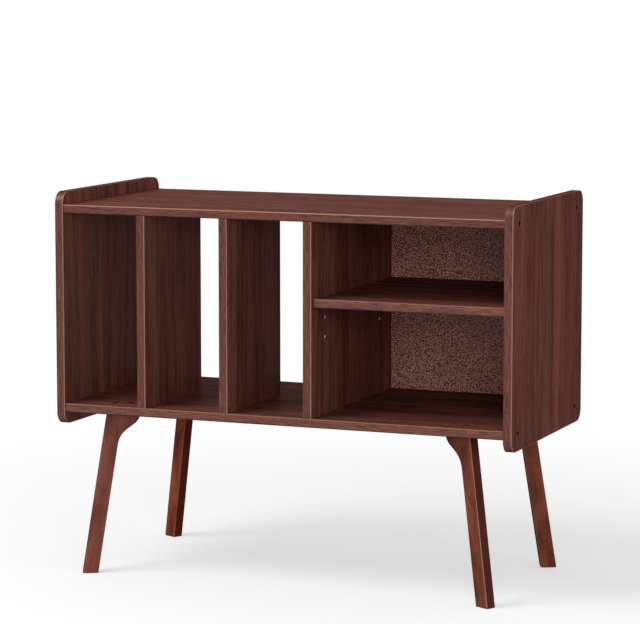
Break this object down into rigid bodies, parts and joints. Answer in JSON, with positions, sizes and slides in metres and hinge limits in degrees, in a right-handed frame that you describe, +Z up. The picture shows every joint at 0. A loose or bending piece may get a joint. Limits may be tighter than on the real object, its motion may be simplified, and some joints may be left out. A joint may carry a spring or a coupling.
{
  "type": "record storage stand",
  "caption": "Low cabinet on splayed wooden legs, with open upright bays for record sleeves and a wide bay with an adjustable shelf.",
  "frame": {"origin": "on the floor, under the middle of the stand", "axes": "+X to the right-hand side seen from the front, -Y to the front, +Z up"},
  "size_m": [0.85, 0.4, 0.685],
  "materials": {
    "walnut_laminate": "satin laminate, walnut grain",
    "edge_band": "satin, walnut print",
    "stained_wood": "satin lacquer over walnut stain",
    "hardboard": "matt, fine speckle",
    "dowel_wood": "raw",
    "zinc_plated_steel": "bright zinc",
    "zinc_casting": "as cast",
    "bronzed_steel": "dark bronze"
  },
  "bodies": {
    "cabinet": {"left_side_panel": "walnut_laminate", "right_side_panel": "walnut_laminate", "top_panel": "walnut_laminate", "bottom_panel": "walnut_laminate", "left_divider": "walnut_laminate", "middle_divider": "walnut_laminate", "right_divider": "walnut_laminate", "back_panel": "hardboard", "left_side_edge_band": "edge_band", "right_side_edge_band": "edge_band", "top_panel_edge_bands": "edge_band", "bottom_panel_edge_bands": "edge_band", "divider_edge_bands": "edge_band", "front_left_leg": "stained_wood", "front_right_leg": "stained_wood", "rear_left_leg": "stained_wood", "rear_right_leg": "stained_wood", "leg_inserts": "zinc_plated_steel", "leg_bolts": "bronzed_steel", "left_side_screws": "bronzed_steel", "right_side_screws": "bronzed_steel", "top_panel_dowels": "dowel_wood", "bottom_panel_dowels": "dowel_wood", "divider_dowels": "dowel_wood", "cam_bolts": "zinc_plated_steel", "cam_locks": "zinc_casting", "shelf_supports": "zinc_plated_steel", "back_panel_screws": "bronzed_steel"},
    "shelf": {"adjustable_shelf": "walnut_laminate", "shelf_edge_bands": "edge_band"}
  },
  "joints": [
    {"name": "shelf_slide", "type": "slide", "parent": "cabinet", "child": "shelf", "axis": [0, -1, 0], "range_m": [0, 0.4]}
  ]
}
